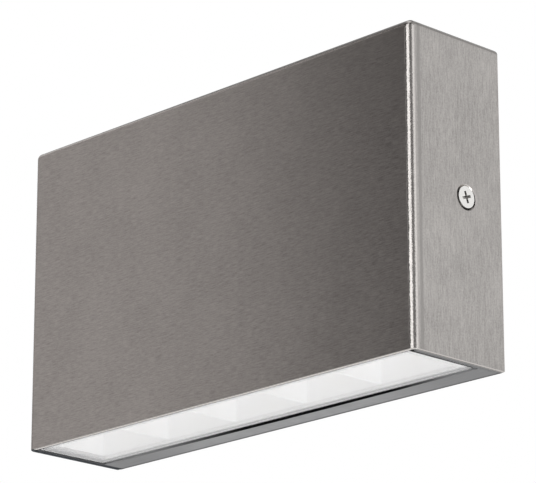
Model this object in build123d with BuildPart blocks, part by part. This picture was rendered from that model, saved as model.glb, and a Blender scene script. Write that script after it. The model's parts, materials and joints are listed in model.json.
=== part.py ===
from build123d import *
from math import sqrt
import os

# Outdoor wall light that shines down. The wall is the plane y = 0 with the origin at the middle of
# the light's back, the front faces -Y and +Z is up. All sizes are in millimetres.

# Cover, folded from sheet and open below and behind
WIDTH = 220.0
HEIGHT = 130.0
DEPTH = 50.0
SHEET = 1.5
BEND = 3.0
TIGHT_BEND = 1.7
REAR_LIP = 3.0
WELD_ROUND = 2.4
EDGE_BREAK = 0.25
WALL_GAP = 0.5

# Countersunk side screws in pressed dimples
SCREW_FROM_WALL = 20.0
SCREW_DIA = 3.9
SCREW_LENGTH = 8.0
SCREW_TIP = 0.5
HEAD_DIA = 8.6
HEAD_RIM = 0.9
HEAD_PROUD = 0.1
HEAD_SEAT_GAP = 0.15
DIMPLE_ROUND = 0.5
DIMPLE_HOLE_DIA = 4.5
DIMPLE_END_GAP = 0.05
RECESS_SPAN = 4.8
RECESS_WIDTH = 1.1
RECESS_DEPTH = 1.8
RECESS_TAPER = 8.0
RECESS_TURN = 20.0

# Threaded clamp plates behind the ears
CLAMP_THICK = 2.0
CLAMP_HEIGHT = 20.0
CLAMP_BEHIND = 8.0
CLAMP_AHEAD = 13.0
CLAMP_GAP = 0.05
THREAD_GAP = 0.1
TONGUE_LENGTH = 6.0
TONGUE_GAP = 0.3
CLAMP_ROUND = 2.0

# Back plate with its flanges, ears and wall slots
PLATE_FIT = 0.15
PLATE_TOP_DROP = 7.0
FLANGE = 11.6
FLANGE_BOW = 1.6
FLANGE_FOLD = 0.5
FLANGE_SEAM = 0.2
CORNER_RELIEF = 1.7
CHEEK_REACH = 46.8
CHEEK_HEIGHT = 12.0
CHEEK_ROUND = 4.0
EAR_REACH = 34.0
EAR_HEIGHT = 28.0
EAR_ROUND = 3.0
SLOT_GAP = 0.6
WALL_SLOT_SPACING = 120.0
WALL_SLOT_LENGTH = 12.0
WALL_SLOT_WIDTH = 5.2
WALL_SLOT_DROP = 23.0

# Cable entry: an embossed seat and its rubber grommet
ENTRY_RISE = 40.0
ENTRY_GAP = 6.0
EMBOSS_DIA = 34.0
EMBOSS_DEPTH = 2.5
ENTRY_HOLE_DIA = 16.0
GROMMET_BORE_DIA = 8.0
GROMMET_LIP = 2.5
GROMMET_LIP_THICK = 1.9
GROMMET_ROUND = 0.8

# Window below the lamp unit
GLASS_THICK = 3.0
GLASS_RECESS = 0.2
GLASS_FRONT_GAP = 0.8
GLASS_STRIP_GAP = 1.1
GLASS_SIDE_GAP = 1.3
GLASS_ROUND = 1.0
GLASS_EDGE = 0.3
RIM_SIDE = 5.0
RIM_DEPTH = 4.0
GASKET_GAP = 0.05
GASKET_THICK = 1.0
GASKET_INSET = 0.2

# Lamp housing
HOUSING_INSET = 0.5
HOUSING_HEIGHT = 26.75
HOUSING_WALL = 2.0
HOUSING_INNER_ROUND = 1.0
HOUSING_TOP_ROUND = 1.5

# Reflector
CELLS = 5
DIVIDER = 1.6
CELL_DRAFT = 2.0
CELL_ROUND = 0.8
REFLECTOR_WALL = 1.2
REFLECTOR_CEILING = 1.5
REFLECTOR_FLANGE = 1.5
REFLECTOR_GAP = 0.2
POST_DIA = 6.0

# Light source
PAD_THICK = 0.5
BOARD_THICK = 1.6
BOARD_END_GAP = 4.0
BOARD_BUSH_GAP = 0.1
BOARD_SCREW_FROM_END = 5.0
LED_SIDE = 7.0
LED_THICK = 0.8
DOME_DIA = 10.0
DOME_GAP = 2.0
BOARD_HEAD_GAP = 0.9

# Small screws and rivets
M3_DIA = 2.9
M3_HEAD_DIA = 5.5
M3_HEAD_HEIGHT = 2.0
M3_HOLE_DIA = 3.2
M4_DIA = 3.9
M4_HEAD_DIA = 7.6
M4_HEAD_HEIGHT = 2.4
M4_HOLE_DIA = 4.2
PAN_ROUND = 1.2
DRIVE_SLOT_WIDTH = 0.8
DRIVE_SLOT_DEPTH = 0.9
POINT_REACH = 0.8
WALL_CLEAR = 0.1

# Brackets between back plate and lamp housing
BRACKET_FROM_END = 17.0
BRACKET_WIDTH = 24.0
BRACKET_RISE = 13.0
BRACKET_TOE = 5.5
BRACKET_FIXING_SPACING = 12.0
RIVET_RISE = 7.5
HOUSING_SCREW_INSET = 5.0
BRACKET_ROUND = 3.0

# Driver
DRIVER_SIDE_GAP = 7.85
DRIVER_BRACKET_GAP = 1.0
DRIVER_LENGTH = 60.0
DRIVER_HEIGHT = 36.0
DRIVER_CASE_DEPTH = 19.5
DRIVER_LID = 2.5
DRIVER_ROUND = 3.0
DRIVER_EDGE = 1.0
DRIVER_TAB = 8.0
DRIVER_TAB_HEIGHT = 16.0
DRIVER_TAB_THICK = 2.0
DRIVER_TAB_ROUND = 2.0

# Terminal block
TERMINAL_RISE = 26.0
POLES = 3
POLE_PITCH = 10.0
POLE_WIDTH = 8.4
TERMINAL_HEIGHT = 16.0
TERMINAL_BASE = 4.0
TERMINAL_TOWER = 10.0
TOWER_ROUND = 1.5
BARREL_DIA = 5.0
BARREL_BORE_DIA = 3.4
BARREL_SEAT_GAP = 0.1
BARREL_SHORT = 1.0
CLAMP_SCREW_OFFSET = 4.0
CLAMP_SCREW_DIA = 2.4
CLAMP_SCREW_HEAD_DIA = 3.4
CLAMP_SCREW_HEAD = 1.5
WELL_GAP = 0.2

# Earth point
LUG_DIA = 8.0
LUG_THICK = 0.8
LUG_BARREL_DIA = 3.2
LUG_BARREL_LENGTH = 5.0

# Internal wires
MAINS_WIRE_DIA = 2.0
LAMP_WIRE_DIA = 1.4
WIRE_ENTRY = 3.0
LIVE_RISE = 9.0
NEUTRAL_RISE = 4.0
MAINS_BEND = 5.0
EARTH_BEND = 3.0
LAMP_WIRE_SPLIT = 1.7
LAMP_WIRE_BEND = 1.6
LAMP_WIRE_RUN = 6.0
LAMP_WIRE_UNDER = 0.4
LAMP_BUSH_BORE_DIA = 3.8
LAMP_BUSH_WALL = 0.7
LAMP_BUSH_LIP = 0.8
LAMP_BUSH_WALL_GAP = 0.2
LAMP_BUSH_LIP_THICK = 1.0

# Places that follow from the sizes above
SIDE = WIDTH / 2
BOTTOM = -HEIGHT / 2
TOP = HEIGHT / 2
FRONT = -DEPTH
INSIDE_X = SIDE - SHEET
INSIDE_FRONT = FRONT + SHEET
REAR_EDGE = -WALL_GAP
INSIDE_REAR = REAR_EDGE - SHEET
PLATE_X = INSIDE_X - PLATE_FIT
EAR_INSIDE = PLATE_X - SHEET
PLATE_TOP = TOP - PLATE_TOP_DROP
PLATE_FACE = -SHEET

SCREW_Y = -SCREW_FROM_WALL
COUNTERSINK_R = HEAD_DIA / 2 + HEAD_RIM - HEAD_PROUD + HEAD_SEAT_GAP
DIMPLE_R = COUNTERSINK_R + SHEET * (sqrt(2) - 1)
DIMPLE_END = EAR_INSIDE + DIMPLE_END_GAP
SLOT_R = DIMPLE_R + SLOT_GAP

GLASS_X = EAR_INSIDE - GLASS_SIDE_GAP
GLASS_FRONT = INSIDE_FRONT + GLASS_FRONT_GAP
GLASS_REAR = -FLANGE - GLASS_STRIP_GAP
GLASS_BOTTOM = BOTTOM + GLASS_RECESS
GASKET_BOTTOM = GLASS_BOTTOM + GLASS_THICK + GASKET_GAP
LAMP_Y = (GLASS_FRONT + GLASS_REAR) / 2
GLASS_DEPTH = GLASS_REAR - GLASS_FRONT
WINDOW_X = GLASS_X - RIM_SIDE
WINDOW_DEPTH = GLASS_DEPTH - 2 * RIM_DEPTH

HOUSING_BOTTOM = GASKET_BOTTOM + GASKET_THICK
HOUSING_TOP = HOUSING_BOTTOM + HOUSING_HEIGHT
HOUSING_X = GLASS_X - HOUSING_INSET
HOUSING_DEPTH = GLASS_DEPTH - 2 * HOUSING_INSET
HOUSING_REAR = LAMP_Y + HOUSING_DEPTH / 2
HOUSING_ROUND = HOUSING_INNER_ROUND + HOUSING_WALL
WEB_BOTTOM = HOUSING_TOP - HOUSING_WALL

LAMP_BUSH_HOLE_R = LAMP_BUSH_BORE_DIA / 2 + LAMP_BUSH_WALL
LAMP_BUSH_LIP_R = LAMP_BUSH_HOLE_R + LAMP_BUSH_LIP
LAMP_BUSH_Y = HOUSING_REAR - HOUSING_WALL - LAMP_BUSH_WALL_GAP - LAMP_BUSH_LIP_R

PAD_BOTTOM = WEB_BOTTOM - PAD_THICK
BOARD_BOTTOM = PAD_BOTTOM - BOARD_THICK
BOARD_LENGTH = 2 * (HOUSING_X - HOUSING_WALL - BOARD_END_GAP)
BOARD_WIDTH = 2 * (LAMP_BUSH_Y - LAMP_BUSH_LIP_R - BOARD_BUSH_GAP - LAMP_Y)
REFLECTOR_TOP = BOARD_BOTTOM - M3_HEAD_HEIGHT - BOARD_HEAD_GAP
REFLECTOR_HEIGHT = REFLECTOR_TOP - HOUSING_BOTTOM
LED_HOLE_R = DOME_DIA / 2 + DOME_GAP
CELL_WIDTH = (2 * WINDOW_X - (CELLS - 1) * DIVIDER) / CELLS
CELL_PITCH = CELL_WIDTH + DIVIDER
CELL_PLACES = [(i - (CELLS - 1) / 2) * CELL_PITCH for i in range(CELLS)]
DIVIDER_PLACES = [x + CELL_PITCH / 2 for x in CELL_PLACES[:-1]]
POST_PLACES = [DIVIDER_PLACES[0], DIVIDER_PLACES[-1]]
BOARD_SCREW_END = BOARD_LENGTH / 2 - BOARD_SCREW_FROM_END
BOARD_SCREW_PLACES = [-BOARD_SCREW_END, *DIVIDER_PLACES[1:-1], BOARD_SCREW_END]

BRACKET_X = HOUSING_X - BRACKET_FROM_END
BRACKET_FOOT = HOUSING_TOP + SHEET
RIVET_Z = HOUSING_TOP + RIVET_RISE
HOUSING_SCREW_Y = HOUSING_REAR - HOUSING_SCREW_INSET
BRACKET_END = HOUSING_SCREW_Y - BRACKET_TOE
FIXING_PLACES = [
    side * BRACKET_X + step * BRACKET_FIXING_SPACING / 2 for side in (-1, 1) for step in (-1, 1)
]

DRIVER_X = -EAR_INSIDE + DRIVER_SIDE_GAP + DRIVER_TAB + DRIVER_LENGTH / 2
DRIVER_RIGHT = DRIVER_X + DRIVER_LENGTH / 2
DRIVER_BOTTOM = HOUSING_TOP + BRACKET_RISE + DRIVER_BRACKET_GAP
DRIVER_Z = DRIVER_BOTTOM + DRIVER_HEIGHT / 2
DRIVER_LID_FACE = PLATE_FACE - DRIVER_CASE_DEPTH
DRIVER_SCREW_STEP = DRIVER_LENGTH / 2 + DRIVER_TAB / 2

ENTRY_X = DRIVER_RIGHT + DRIVER_TAB + ENTRY_GAP + EMBOSS_DIA / 2
ENTRY_Z = DRIVER_BOTTOM + ENTRY_RISE
TERMINAL_X = ENTRY_X + EMBOSS_DIA / 2 + ENTRY_GAP + POLES * POLE_PITCH / 2
TERMINAL_Z = DRIVER_BOTTOM + TERMINAL_RISE + TERMINAL_HEIGHT / 2
POLE_PLACES = [TERMINAL_X + (i - (POLES - 1) / 2) * POLE_PITCH for i in range(POLES)]
GAP_PLACES = [TERMINAL_X + (i - (POLES - 2) / 2) * POLE_PITCH for i in range(POLES - 1)]
TOWER_FACE = PLATE_FACE - TERMINAL_BASE - TERMINAL_TOWER
BARREL_Y = PLATE_FACE - TERMINAL_BASE - TERMINAL_TOWER / 2
BARREL_LENGTH = TERMINAL_HEIGHT - 2 * BARREL_SHORT
BARREL_END = TERMINAL_Z - BARREL_LENGTH / 2
WELL_R = CLAMP_SCREW_HEAD_DIA / 2 + WELL_GAP

EARTH_X = POLE_PLACES[-1]
EARTH_Z = DRIVER_BOTTOM + LUG_DIA / 2
LUG_FACE = PLATE_FACE - LUG_THICK
LUG_BARREL_TOP = EARTH_Z + LUG_DIA / 2 + LUG_BARREL_LENGTH
LUG_BARREL_Y = PLATE_FACE - LUG_BARREL_DIA / 2

LAMP_WIRE_X = DRIVER_X
LAMP_WIRE_Z = BOARD_BOTTOM - LAMP_WIRE_UNDER - LAMP_WIRE_DIA / 2


def finish(piece, name):
    """Labels a finished piece and writes it to its own file."""
    piece.part.label = name
    export_step(piece.part, f"parts/{name}.step")


def long_tops(block):
    """The edges along the top of a cover block, from the front one to the rear one."""
    return block.edges().filter_by(Axis.X).group_by(Axis.Z)[-1].sort_by(Axis.Y)


def front_folds(block):
    """The three front edges of a cover block that are folds."""
    uprights = block.edges().filter_by(Axis.Z).group_by(Axis.Y)[0]
    return [*uprights, long_tops(block)[0]]


def screw_plane(side):
    """Plane through a side screw's axis: its x runs outwards from the middle and its y runs up."""
    return Plane(origin=(0, SCREW_Y, 0), x_dir=(side, 0, 0), z_dir=(0, -side, 0))


def turned(profile, plane, axis):
    """Solid of revolution from a closed outline of (x, y) points on a plane."""
    with BuildPart() as shape:
        with BuildSketch(plane):
            with BuildLine():
                Polyline(*profile, close=True)
            make_face()
        revolve(axis=axis)
    return shape.part


def pan_screw(shank_dia, shank_length, head_dia, head_height, rounding):
    """Slotted pan head screw on the Z axis, seated at z = 0 with its head above."""
    with BuildPart() as screw:
        with BuildSketch():
            Circle(head_dia / 2)
        extrude(amount=head_height)
        fillet(screw.edges().group_by(Axis.Z)[-1], rounding)
        with BuildSketch():
            Circle(shank_dia / 2)
        extrude(amount=-shank_length)
        with BuildSketch(Plane.XY.offset(head_height)):
            Rectangle(head_dia, DRIVE_SLOT_WIDTH)
        extrude(amount=-DRIVE_SLOT_DEPTH, mode=Mode.SUBTRACT)
    return screw.part


def wire(points, radius, bends):
    """Round wire along straight runs joined by arcs."""
    with BuildPart() as strand:
        with BuildLine() as route:
            FilletPolyline(*points, radius=bends)
        with BuildSketch(Plane(origin=route.line @ 0, z_dir=route.line % 0)):
            Circle(radius)
        sweep()
    return strand


FACING_FRONT = (90, 0, 0)
FACING_DOWN = (180, 0, 0)
os.makedirs("parts", exist_ok=True)

# Cover shell: the folded block, less the space inside it, with a dimple pressed into each side
with BuildPart() as cover_space:
    with BuildSketch(Plane.XY.offset(BOTTOM)):
        with Locations((0, INSIDE_FRONT)):
            Rectangle(2 * INSIDE_X, INSIDE_REAR - INSIDE_FRONT, align=(Align.CENTER, Align.MIN))
    extrude(amount=HEIGHT - SHEET)
    fillet(front_folds(cover_space), BEND - SHEET)
    fillet(long_tops(cover_space)[-1], TIGHT_BEND - SHEET)
    with BuildSketch(Plane.XY.offset(BOTTOM)):
        with Locations((0, INSIDE_REAR)):
            Rectangle(2 * INSIDE_X, -INSIDE_REAR, align=(Align.CENTER, Align.MIN))
    extrude(amount=HEIGHT - REAR_LIP)

dimple_outline = [
    (SIDE - SHEET / 2, 0),
    (SIDE - SHEET / 2, DIMPLE_R),
    (INSIDE_X, DIMPLE_R),
    (DIMPLE_END, DIMPLE_R - (INSIDE_X - DIMPLE_END)),
    (DIMPLE_END, 0),
]
countersink_outline = [
    (SIDE + SHEET, 0),
    (SIDE + SHEET, COUNTERSINK_R + SHEET),
    (SIDE - COUNTERSINK_R + DIMPLE_HOLE_DIA / 2, DIMPLE_HOLE_DIA / 2),
    (DIMPLE_END - SHEET, DIMPLE_HOLE_DIA / 2),
    (DIMPLE_END - SHEET, 0),
]
SCREW_AXIS = Axis((0, SCREW_Y, 0), (1, 0, 0))
dimples = [turned(dimple_outline, screw_plane(side), SCREW_AXIS) for side in (1, -1)]
countersinks = [turned(countersink_outline, screw_plane(side), SCREW_AXIS) for side in (1, -1)]

with BuildPart() as cover_shell:
    with BuildSketch(Plane.XY.offset(BOTTOM)):
        with Locations((0, FRONT)):
            Rectangle(WIDTH, REAR_EDGE - FRONT, align=(Align.CENTER, Align.MIN))
    extrude(amount=HEIGHT)
    fillet(front_folds(cover_shell), BEND)
    fillet(cover_shell.edges().filter_by(Axis.Y).group_by(Axis.Z)[-1], WELD_ROUND)
    with BuildSketch(Plane.YZ):
        with Locations((REAR_EDGE, TOP)):
            Rectangle(TIGHT_BEND, TIGHT_BEND, align=Align.MAX)
        with Locations((REAR_EDGE - TIGHT_BEND, TOP - TIGHT_BEND)):
            Circle(TIGHT_BEND, mode=Mode.SUBTRACT)
    extrude(amount=SIDE, both=True, mode=Mode.SUBTRACT)
    add(cover_space.part, mode=Mode.SUBTRACT)
    chamfer(cover_shell.faces().sort_by(Axis.Z)[0].edges(), EDGE_BREAK)
    add(dimples)
    add(countersinks, mode=Mode.SUBTRACT)
    rims = cover_shell.edges().filter_by(GeomType.CIRCLE)
    fillet(rims.filter_by(lambda rim: abs(rim.radius - COUNTERSINK_R) < SHEET / 100), DIMPLE_ROUND)
finish(cover_shell, "cover_shell")

# Side screws and the clamp plates that they pull against the ears
head_face = SIDE + HEAD_PROUD
head_r = HEAD_DIA / 2
head_seat = head_face - HEAD_RIM
shank_r = SCREW_DIA / 2
screw_outline = [
    (head_face, 0),
    (head_face, head_r),
    (head_seat, head_r),
    (head_seat - (head_r - shank_r), shank_r),
    (head_face - SCREW_LENGTH + SCREW_TIP, shank_r),
    (head_face - SCREW_LENGTH, shank_r - SCREW_TIP),
    (head_face - SCREW_LENGTH, 0),
]
clamp_face = EAR_INSIDE - CLAMP_GAP
for side, name in ((1, "right"), (-1, "left")):
    turned_screw = turned(screw_outline, screw_plane(side), SCREW_AXIS)
    with BuildPart() as side_screw:
        add(turned_screw)
        head_plane = Plane(origin=(side * head_face, SCREW_Y, 0), x_dir=(0, 0, 1), z_dir=(side, 0, 0))
        with BuildSketch(head_plane):
            for turn in (RECESS_TURN, RECESS_TURN + 90):
                Rectangle(RECESS_SPAN, RECESS_WIDTH, rotation=turn)
        extrude(amount=-RECESS_DEPTH, taper=RECESS_TAPER, mode=Mode.SUBTRACT)
    finish(side_screw, f"side_screw_{name}")

    with BuildPart() as clamp_plate:
        with BuildSketch(Plane.YZ.offset(side * clamp_face)):
            with Locations((SCREW_Y + CLAMP_BEHIND, 0)):
                Rectangle(CLAMP_BEHIND + CLAMP_AHEAD, CLAMP_HEIGHT, align=(Align.MAX, Align.CENTER))
        extrude(amount=-side * CLAMP_THICK)
        fillet(clamp_plate.edges().filter_by(Axis.X), CLAMP_ROUND)
        with BuildSketch(Plane.YZ.offset(side * clamp_face)):
            with Locations((SCREW_Y - CLAMP_AHEAD, 0)):
                Rectangle(TONGUE_LENGTH, 2 * (SLOT_R - TONGUE_GAP), align=(Align.MIN, Align.CENTER))
        extrude(amount=side * (SHEET + CLAMP_GAP))
        with BuildSketch(Plane.YZ.offset(side * clamp_face)):
            with Locations((SCREW_Y, 0)):
                Circle(shank_r + THREAD_GAP)
        extrude(amount=-side * CLAMP_THICK, mode=Mode.SUBTRACT)
    finish(clamp_plate, f"clamp_plate_{name}")

# Back plate: a channel with a bowed bottom flange, slotted ears, a cheek along each lower side edge,
# wall slots and an embossed cable entry
emboss_r = EMBOSS_DIA / 2
emboss_back_r = emboss_r - SHEET * (sqrt(2) - 1)
entry_plane = Plane(origin=(ENTRY_X, 0, ENTRY_Z), x_dir=(1, 0, 0), z_dir=(0, 0, 1))
entry_axis = Axis((ENTRY_X, 0, ENTRY_Z), (0, 1, 0))
emboss_outline = [
    (0, PLATE_FACE / 2),
    (emboss_r, PLATE_FACE / 2),
    (emboss_r, PLATE_FACE),
    (emboss_r - EMBOSS_DEPTH, PLATE_FACE - EMBOSS_DEPTH),
    (0, PLATE_FACE - EMBOSS_DEPTH),
]
emboss_back_outline = [
    (0, 0),
    (emboss_back_r, 0),
    (emboss_back_r - EMBOSS_DEPTH, -EMBOSS_DEPTH),
    (0, -EMBOSS_DEPTH),
]
emboss = turned(emboss_outline, entry_plane, entry_axis)
emboss_back = turned(emboss_back_outline, entry_plane, entry_axis)
relief_top = BOTTOM + SHEET + CORNER_RELIEF
m3_plate_places = [(DRIVER_X - DRIVER_SCREW_STEP, DRIVER_Z), (DRIVER_X + DRIVER_SCREW_STEP, DRIVER_Z)]
m3_plate_places += [(x, TERMINAL_Z) for x in GAP_PLACES]
m3_plate_places += [(x, RIVET_Z) for x in FIXING_PLACES]

with BuildPart() as back_plate:
    with BuildSketch(Plane.XY.offset(relief_top)):
        with BuildLine():
            FilletPolyline(
                (-PLATE_X, -FLANGE), (-PLATE_X, 0), (PLATE_X, 0), (PLATE_X, -FLANGE), radius=BEND
            )
            offset(amount=SHEET, side=Side.RIGHT)
        make_face()
    extrude(amount=PLATE_TOP - relief_top)
    with BuildSketch(Plane.YZ.offset(-PLATE_X)) as strip:
        with Locations((0, BOTTOM)):
            Rectangle(FLANGE, SHEET, align=(Align.MAX, Align.MIN))
            Rectangle(SHEET, relief_top - BOTTOM, align=(Align.MAX, Align.MIN))
        fillet(strip.vertices().group_by(Axis.X)[-1].sort_by(Axis.Y)[0], FLANGE_FOLD)
    extrude(amount=2 * PLATE_X)
    with BuildSketch(Plane.XY.offset(BOTTOM)):
        with BuildLine():
            ThreePointArc((-PLATE_X, -FLANGE), (0, FLANGE_BOW - FLANGE), (PLATE_X, -FLANGE))
            Line((PLATE_X, -FLANGE), (-PLATE_X, -FLANGE))
        make_face()
    extrude(amount=SHEET, mode=Mode.SUBTRACT)
    for side in (1, -1):
        with BuildSketch(Plane.YZ.offset(side * EAR_INSIDE)) as cheek:
            with Locations((-CHEEK_REACH, BOTTOM)):
                Rectangle(CHEEK_REACH - BEND, CHEEK_HEIGHT, align=(Align.MIN, Align.MIN))
            fillet(cheek.vertices().group_by(Axis.X)[0].sort_by(Axis.Y)[-1], CHEEK_ROUND)
            with Locations((-FLANGE - FLANGE_SEAM, relief_top)):
                Rectangle(FLANGE, FLANGE, align=(Align.MIN, Align.MAX), mode=Mode.SUBTRACT)
        extrude(amount=side * SHEET)
        with BuildSketch(Plane.YZ.offset(side * EAR_INSIDE)) as ear:
            with Locations((-EAR_REACH, 0)):
                Rectangle(EAR_REACH - BEND, EAR_HEIGHT, align=(Align.MIN, Align.CENTER))
            fillet(ear.vertices().group_by(Axis.X)[0], EAR_ROUND)
            with Locations((SCREW_Y, 0)):
                Circle(SLOT_R, mode=Mode.SUBTRACT)
                Rectangle(
                    EAR_REACH, 2 * SLOT_R, align=(Align.MAX, Align.CENTER), mode=Mode.SUBTRACT
                )
        extrude(amount=side * SHEET)
    with BuildSketch(Plane.XZ):
        with Locations(*[(side * WALL_SLOT_SPACING / 2, TOP - WALL_SLOT_DROP) for side in (-1, 1)]):
            SlotOverall(WALL_SLOT_LENGTH, WALL_SLOT_WIDTH)
        with Locations(*m3_plate_places):
            Circle(M3_HOLE_DIA / 2)
        with Locations((EARTH_X, EARTH_Z)):
            Circle(M4_HOLE_DIA / 2)
    extrude(amount=SHEET, mode=Mode.SUBTRACT)
    add(emboss)
    add(emboss_back, mode=Mode.SUBTRACT)
    with BuildSketch(Plane.XZ):
        with Locations((ENTRY_X, ENTRY_Z)):
            Circle(ENTRY_HOLE_DIA / 2)
    extrude(amount=SHEET + EMBOSS_DEPTH, mode=Mode.SUBTRACT)
finish(back_plate, "back_plate")

# Cable grommet, gripping the edge of the embossed hole
lip_r = ENTRY_HOLE_DIA / 2 + GROMMET_LIP
seat_back = -EMBOSS_DEPTH
seat_front = PLATE_FACE - EMBOSS_DEPTH
grommet_outline = [
    (GROMMET_BORE_DIA / 2, seat_back + GROMMET_LIP_THICK),
    (lip_r, seat_back + GROMMET_LIP_THICK),
    (lip_r, seat_back),
    (ENTRY_HOLE_DIA / 2, seat_back),
    (ENTRY_HOLE_DIA / 2, seat_front),
    (lip_r, seat_front),
    (lip_r, seat_front - GROMMET_LIP_THICK),
    (GROMMET_BORE_DIA / 2, seat_front - GROMMET_LIP_THICK),
]
grommet_body = turned(grommet_outline, entry_plane, entry_axis)
with BuildPart() as cable_grommet:
    add(grommet_body)
    rims = cable_grommet.edges().filter_by(GeomType.CIRCLE).group_by(Axis.Y)
    fillet([rims[end].sort_by(SortBy.RADIUS)[-1] for end in (0, -1)], GROMMET_ROUND)
finish(cable_grommet, "cable_grommet")

# Window: clear plate and the seal above it
with BuildPart() as window_glass:
    with BuildSketch(Plane.XY.offset(GLASS_BOTTOM)):
        with Locations((0, LAMP_Y)):
            RectangleRounded(2 * GLASS_X, GLASS_DEPTH, GLASS_ROUND)
    extrude(amount=GLASS_THICK)
    chamfer(window_glass.faces().filter_by(Axis.Z).edges(), GLASS_EDGE)
finish(window_glass, "window_glass")

with BuildPart() as window_gasket:
    with BuildSketch(Plane.XY.offset(GASKET_BOTTOM)):
        with Locations((0, LAMP_Y)):
            RectangleRounded(2 * (GLASS_X - GASKET_INSET), GLASS_DEPTH - 2 * GASKET_INSET, GLASS_ROUND)
            Rectangle(2 * WINDOW_X, WINDOW_DEPTH, mode=Mode.SUBTRACT)
    extrude(amount=GASKET_THICK)
finish(window_gasket, "window_gasket")

# Lamp housing: a tray, open below
with BuildPart() as lamp_housing:
    with BuildSketch(Plane.XY.offset(HOUSING_BOTTOM)):
        with Locations((0, LAMP_Y)):
            RectangleRounded(2 * HOUSING_X, HOUSING_DEPTH, HOUSING_ROUND)
    extrude(amount=HOUSING_HEIGHT)
    fillet(lamp_housing.edges().group_by(Axis.Z)[-1], HOUSING_TOP_ROUND)
    with BuildSketch(Plane.XY.offset(HOUSING_BOTTOM)):
        with Locations((0, LAMP_Y)):
            RectangleRounded(
                2 * (HOUSING_X - HOUSING_WALL), HOUSING_DEPTH - 2 * HOUSING_WALL, HOUSING_INNER_ROUND
            )
    extrude(amount=HOUSING_HEIGHT - HOUSING_WALL, mode=Mode.SUBTRACT)
    with BuildSketch(Plane.XY.offset(HOUSING_TOP)):
        with Locations(*[(x, LAMP_Y) for x in BOARD_SCREW_PLACES]):
            Circle(M3_HOLE_DIA / 2)
        with Locations(*[(x, HOUSING_SCREW_Y) for x in FIXING_PLACES]):
            Circle(M3_HOLE_DIA / 2)
        with Locations((LAMP_WIRE_X, LAMP_BUSH_Y)):
            Circle(LAMP_BUSH_HOLE_R)
    extrude(amount=-HOUSING_WALL, mode=Mode.SUBTRACT)
finish(lamp_housing, "lamp_housing")

# Reflector: five drafted cells with a flange below, a hole over each and posts up to the board
with BuildPart() as reflector:
    with BuildSketch(Plane.XY.offset(HOUSING_BOTTOM)):
        with Locations((0, LAMP_Y)):
            Rectangle(2 * (WINDOW_X + REFLECTOR_WALL), WINDOW_DEPTH + 2 * REFLECTOR_WALL)
    extrude(amount=REFLECTOR_HEIGHT)
    with BuildSketch(Plane.XY.offset(HOUSING_BOTTOM)):
        with Locations((0, LAMP_Y)):
            RectangleRounded(
                2 * (HOUSING_X - HOUSING_WALL - REFLECTOR_GAP),
                HOUSING_DEPTH - 2 * (HOUSING_WALL + REFLECTOR_GAP),
                HOUSING_INNER_ROUND,
            )
    extrude(amount=REFLECTOR_FLANGE)
    with BuildSketch(Plane.XY.offset(HOUSING_BOTTOM)):
        with Locations(*[(x, LAMP_Y) for x in CELL_PLACES]):
            RectangleRounded(CELL_WIDTH, WINDOW_DEPTH, CELL_ROUND)
    extrude(amount=REFLECTOR_HEIGHT - REFLECTOR_CEILING, taper=CELL_DRAFT, mode=Mode.SUBTRACT)
    with BuildSketch(Plane.XY.offset(REFLECTOR_TOP)):
        with Locations(*[(x, LAMP_Y) for x in CELL_PLACES]):
            Circle(LED_HOLE_R)
    extrude(amount=-REFLECTOR_CEILING, mode=Mode.SUBTRACT)
    with BuildSketch(Plane.XY.offset(REFLECTOR_TOP)):
        with Locations(*[(x, LAMP_Y) for x in POST_PLACES]):
            Circle(POST_DIA / 2)
    extrude(amount=BOARD_BOTTOM - REFLECTOR_TOP)
finish(reflector, "reflector")

# Light source: pad, board, LED packages with their domes, and the board's screws
for name, bottom, thickness in (
    ("thermal_pad", PAD_BOTTOM, PAD_THICK),
    ("led_board", BOARD_BOTTOM, BOARD_THICK),
):
    with BuildPart() as layer:
        with BuildSketch(Plane.XY.offset(bottom)):
            with Locations((0, LAMP_Y)):
                Rectangle(BOARD_LENGTH, BOARD_WIDTH)
            with Locations(*[(x, LAMP_Y) for x in BOARD_SCREW_PLACES]):
                Circle(M3_HOLE_DIA / 2, mode=Mode.SUBTRACT)
        extrude(amount=thickness)
    finish(layer, name)

with BuildPart() as led_packages:
    with BuildSketch(Plane.XY.offset(BOARD_BOTTOM)):
        with Locations(*[(x, LAMP_Y) for x in CELL_PLACES]):
            Rectangle(LED_SIDE, LED_SIDE)
    extrude(amount=-LED_THICK)
finish(led_packages, "led_packages")

dome_base = BOARD_BOTTOM - LED_THICK
with BuildPart() as led_domes:
    with Locations(*[(x, LAMP_Y, dome_base) for x in CELL_PLACES]):
        Sphere(
            DOME_DIA / 2, arc_size1=-90, arc_size2=0, align=(Align.CENTER, Align.CENTER, Align.MAX)
        )
finish(led_domes, "led_domes")

board_screw = pan_screw(
    M3_DIA, BOARD_THICK + PAD_THICK + HOUSING_WALL + POINT_REACH, M3_HEAD_DIA, M3_HEAD_HEIGHT, PAN_ROUND
)
with BuildPart() as board_screws:
    with Locations(*[Location((x, LAMP_Y, BOARD_BOTTOM), FACING_DOWN) for x in BOARD_SCREW_PLACES]):
        add(board_screw)
finish(board_screws, "board_screws")

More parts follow.
